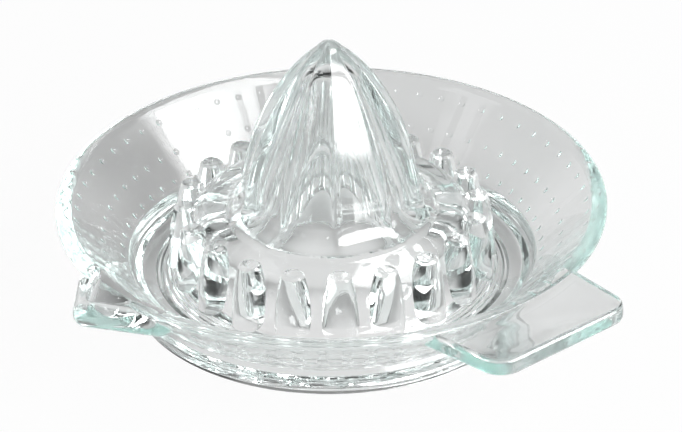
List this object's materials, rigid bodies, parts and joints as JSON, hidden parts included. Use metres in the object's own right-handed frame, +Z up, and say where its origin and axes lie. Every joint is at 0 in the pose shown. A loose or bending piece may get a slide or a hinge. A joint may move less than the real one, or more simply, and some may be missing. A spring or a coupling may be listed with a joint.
{
  "type": "citrus juicer",
  "caption": "Clear pressed-glass citrus juicer: flared bowl with a ten-sided reamer, a ring of pip teeth, a juice trough, a pouring spout and a flat handle tab.",
  "frame": {"origin": "on the surface that the juicer stands on, at the middle of its outline seen from above", "axes": "+Z up along the reamer; +X from the bowl towards the handle tab; -Y from the bowl towards the spout"},
  "size_m": [0.1541, 0.146, 0.0688],
  "materials": {
    "glass": "clear pressed soda-lime glass, fire-polished, with a faint blue-green cast where it is thick"
  },
  "bodies": {
    "root": {"juicer": "glass"}
  },
  "joints": []
}
